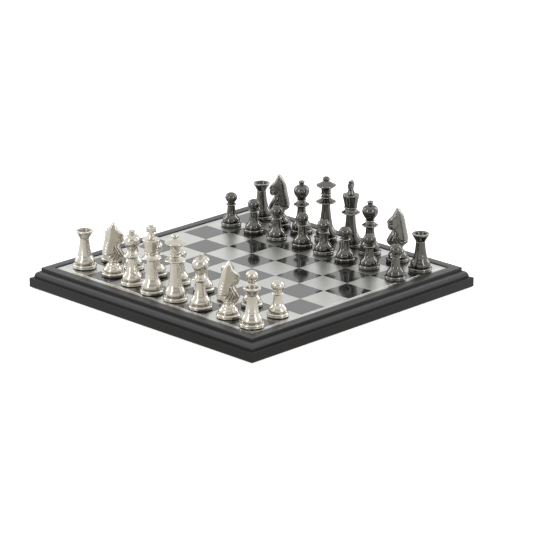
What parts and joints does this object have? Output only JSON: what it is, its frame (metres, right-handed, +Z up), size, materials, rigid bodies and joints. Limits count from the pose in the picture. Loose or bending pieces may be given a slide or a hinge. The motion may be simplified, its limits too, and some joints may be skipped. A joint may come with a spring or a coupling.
{
  "type": "chess set with board",
  "caption": "Chess set: silver and dark metal pieces set out on a brushed metal board with glossy dark squares in a moulded black frame; each piece lifts off.",
  "frame": {"origin": "middle of the underside, on the surface that the set stands on", "axes": "+X along the files from a to h, +Y along the ranks from the silver side to the dark side, +Z up"},
  "size_m": [0.303, 0.303, 0.0865],
  "materials": {
    "frame_black": "satin black lacquer on moulded hardwood",
    "plate_metal": "brushed and clear lacquered, with glossy dark enamel squares",
    "panel_brown": "raw fibreboard",
    "felt_black": "black felt",
    "silver": "polished nickel plate on a cast metal body",
    "dark_nickel": "polished black nickel plate on a cast metal body"
  },
  "bodies": {
    "board": {"rail_front": "frame_black", "rail_right": "frame_black", "rail_back": "frame_black", "rail_left": "frame_black", "core_panel": "panel_brown", "playing_plate": "plate_metal", "backing_sheet": "felt_black", "foot_pad_1": "felt_black", "foot_pad_2": "felt_black", "foot_pad_3": "felt_black", "foot_pad_4": "felt_black"},
    "silver_rook_a": {"silver_rook_a": "silver"},
    "silver_knight_b": {"silver_knight_b_base": "silver", "silver_knight_b_head": "silver"},
    "silver_bishop_c": {"silver_bishop_c": "silver"},
    "silver_king": {"silver_king": "silver"},
    "silver_queen": {"silver_queen": "silver"},
    "silver_bishop_f": {"silver_bishop_f": "silver"},
    "silver_knight_g": {"silver_knight_g_base": "silver", "silver_knight_g_head": "silver"},
    "silver_rook_h": {"silver_rook_h": "silver"},
    "silver_pawn_a": {"silver_pawn_a": "silver"},
    "silver_pawn_b": {"silver_pawn_b": "silver"},
    "silver_pawn_c": {"silver_pawn_c": "silver"},
    "silver_pawn_d": {"silver_pawn_d": "silver"},
    "silver_pawn_e": {"silver_pawn_e": "silver"},
    "silver_pawn_f": {"silver_pawn_f": "silver"},
    "silver_pawn_g": {"silver_pawn_g": "silver"},
    "silver_pawn_h": {"silver_pawn_h": "silver"},
    "dark_rook_a": {"dark_rook_a": "dark_nickel"},
    "dark_knight_b": {"dark_knight_b_base": "dark_nickel", "dark_knight_b_head": "dark_nickel"},
    "dark_bishop_c": {"dark_bishop_c": "dark_nickel"},
    "dark_queen": {"dark_queen": "dark_nickel"},
    "dark_king": {"dark_king": "dark_nickel"},
    "dark_bishop_f": {"dark_bishop_f": "dark_nickel"},
    "dark_knight_g": {"dark_knight_g_base": "dark_nickel", "dark_knight_g_head": "dark_nickel"},
    "dark_rook_h": {"dark_rook_h": "dark_nickel"},
    "dark_pawn_a": {"dark_pawn_a": "dark_nickel"},
    "dark_pawn_b": {"dark_pawn_b": "dark_nickel"},
    "dark_pawn_c": {"dark_pawn_c": "dark_nickel"},
    "dark_pawn_d": {"dark_pawn_d": "dark_nickel"},
    "dark_pawn_e": {"dark_pawn_e": "dark_nickel"},
    "dark_pawn_f": {"dark_pawn_f": "dark_nickel"},
    "dark_pawn_g": {"dark_pawn_g": "dark_nickel"},
    "dark_pawn_h": {"dark_pawn_h": "dark_nickel"}
  },
  "joints": [
    {"name": "silver_rook_a_lift", "type": "slide", "parent": "board", "child": "silver_rook_a", "axis": [0, 0, 1], "range_m": [0, 0.08]},
    {"name": "silver_knight_b_lift", "type": "slide", "parent": "board", "child": "silver_knight_b", "axis": [0, 0, 1], "range_m": [0, 0.08]},
    {"name": "silver_bishop_c_lift", "type": "slide", "parent": "board", "child": "silver_bishop_c", "axis": [0, 0, 1], "range_m": [0, 0.08]},
    {"name": "silver_king_lift", "type": "slide", "parent": "board", "child": "silver_king", "axis": [0, 0, 1], "range_m": [0, 0.08]},
    {"name": "silver_queen_lift", "type": "slide", "parent": "board", "child": "silver_queen", "axis": [0, 0, 1], "range_m": [0, 0.08]},
    {"name": "silver_bishop_f_lift", "type": "slide", "parent": "board", "child": "silver_bishop_f", "axis": [0, 0, 1], "range_m": [0, 0.08]},
    {"name": "silver_knight_g_lift", "type": "slide", "parent": "board", "child": "silver_knight_g", "axis": [0, 0, 1], "range_m": [0, 0.08]},
    {"name": "silver_rook_h_lift", "type": "slide", "parent": "board", "child": "silver_rook_h", "axis": [0, 0, 1], "range_m": [0, 0.08]},
    {"name": "silver_pawn_a_lift", "type": "slide", "parent": "board", "child": "silver_pawn_a", "axis": [0, 0, 1], "range_m": [0, 0.08]},
    {"name": "silver_pawn_b_lift", "type": "slide", "parent": "board", "child": "silver_pawn_b", "axis": [0, 0, 1], "range_m": [0, 0.08]},
    {"name": "silver_pawn_c_lift", "type": "slide", "parent": "board", "child": "silver_pawn_c", "axis": [0, 0, 1], "range_m": [0, 0.08]},
    {"name": "silver_pawn_d_lift", "type": "slide", "parent": "board", "child": "silver_pawn_d", "axis": [0, 0, 1], "range_m": [0, 0.08]},
    {"name": "silver_pawn_e_lift", "type": "slide", "parent": "board", "child": "silver_pawn_e", "axis": [0, 0, 1], "range_m": [0, 0.08]},
    {"name": "silver_pawn_f_lift", "type": "slide", "parent": "board", "child": "silver_pawn_f", "axis": [0, 0, 1], "range_m": [0, 0.08]},
    {"name": "silver_pawn_g_lift", "type": "slide", "parent": "board", "child": "silver_pawn_g", "axis": [0, 0, 1], "range_m": [0, 0.08]},
    {"name": "silver_pawn_h_lift", "type": "slide", "parent": "board", "child": "silver_pawn_h", "axis": [0, 0, 1], "range_m": [0, 0.08]},
    {"name": "dark_rook_a_lift", "type": "slide", "parent": "board", "child": "dark_rook_a", "axis": [0, 0, 1], "range_m": [0, 0.08]},
    {"name": "dark_knight_b_lift", "type": "slide", "parent": "board", "child": "dark_knight_b", "axis": [0, 0, 1], "range_m": [0, 0.08]},
    {"name": "dark_bishop_c_lift", "type": "slide", "parent": "board", "child": "dark_bishop_c", "axis": [0, 0, 1], "range_m": [0, 0.08]},
    {"name": "dark_queen_lift", "type": "slide", "parent": "board", "child": "dark_queen", "axis": [0, 0, 1], "range_m": [0, 0.08]},
    {"name": "dark_king_lift", "type": "slide", "parent": "board", "child": "dark_king", "axis": [0, 0, 1], "range_m": [0, 0.08]},
    {"name": "dark_bishop_f_lift", "type": "slide", "parent": "board", "child": "dark_bishop_f", "axis": [0, 0, 1], "range_m": [0, 0.08]},
    {"name": "dark_knight_g_lift", "type": "slide", "parent": "board", "child": "dark_knight_g", "axis": [0, 0, 1], "range_m": [0, 0.08]},
    {"name": "dark_rook_h_lift", "type": "slide", "parent": "board", "child": "dark_rook_h", "axis": [0, 0, 1], "range_m": [0, 0.08]},
    {"name": "dark_pawn_a_lift", "type": "slide", "parent": "board", "child": "dark_pawn_a", "axis": [0, 0, 1], "range_m": [0, 0.08]},
    {"name": "dark_pawn_b_lift", "type": "slide", "parent": "board", "child": "dark_pawn_b", "axis": [0, 0, 1], "range_m": [0, 0.08]},
    {"name": "dark_pawn_c_lift", "type": "slide", "parent": "board", "child": "dark_pawn_c", "axis": [0, 0, 1], "range_m": [0, 0.08]},
    {"name": "dark_pawn_d_lift", "type": "slide", "parent": "board", "child": "dark_pawn_d", "axis": [0, 0, 1], "range_m": [0, 0.08]},
    {"name": "dark_pawn_e_lift", "type": "slide", "parent": "board", "child": "dark_pawn_e", "axis": [0, 0, 1], "range_m": [0, 0.08]},
    {"name": "dark_pawn_f_lift", "type": "slide", "parent": "board", "child": "dark_pawn_f", "axis": [0, 0, 1], "range_m": [0, 0.08]},
    {"name": "dark_pawn_g_lift", "type": "slide", "parent": "board", "child": "dark_pawn_g", "axis": [0, 0, 1], "range_m": [0, 0.08]},
    {"name": "dark_pawn_h_lift", "type": "slide", "parent": "board", "child": "dark_pawn_h", "axis": [0, 0, 1], "range_m": [0, 0.08]}
  ]
}
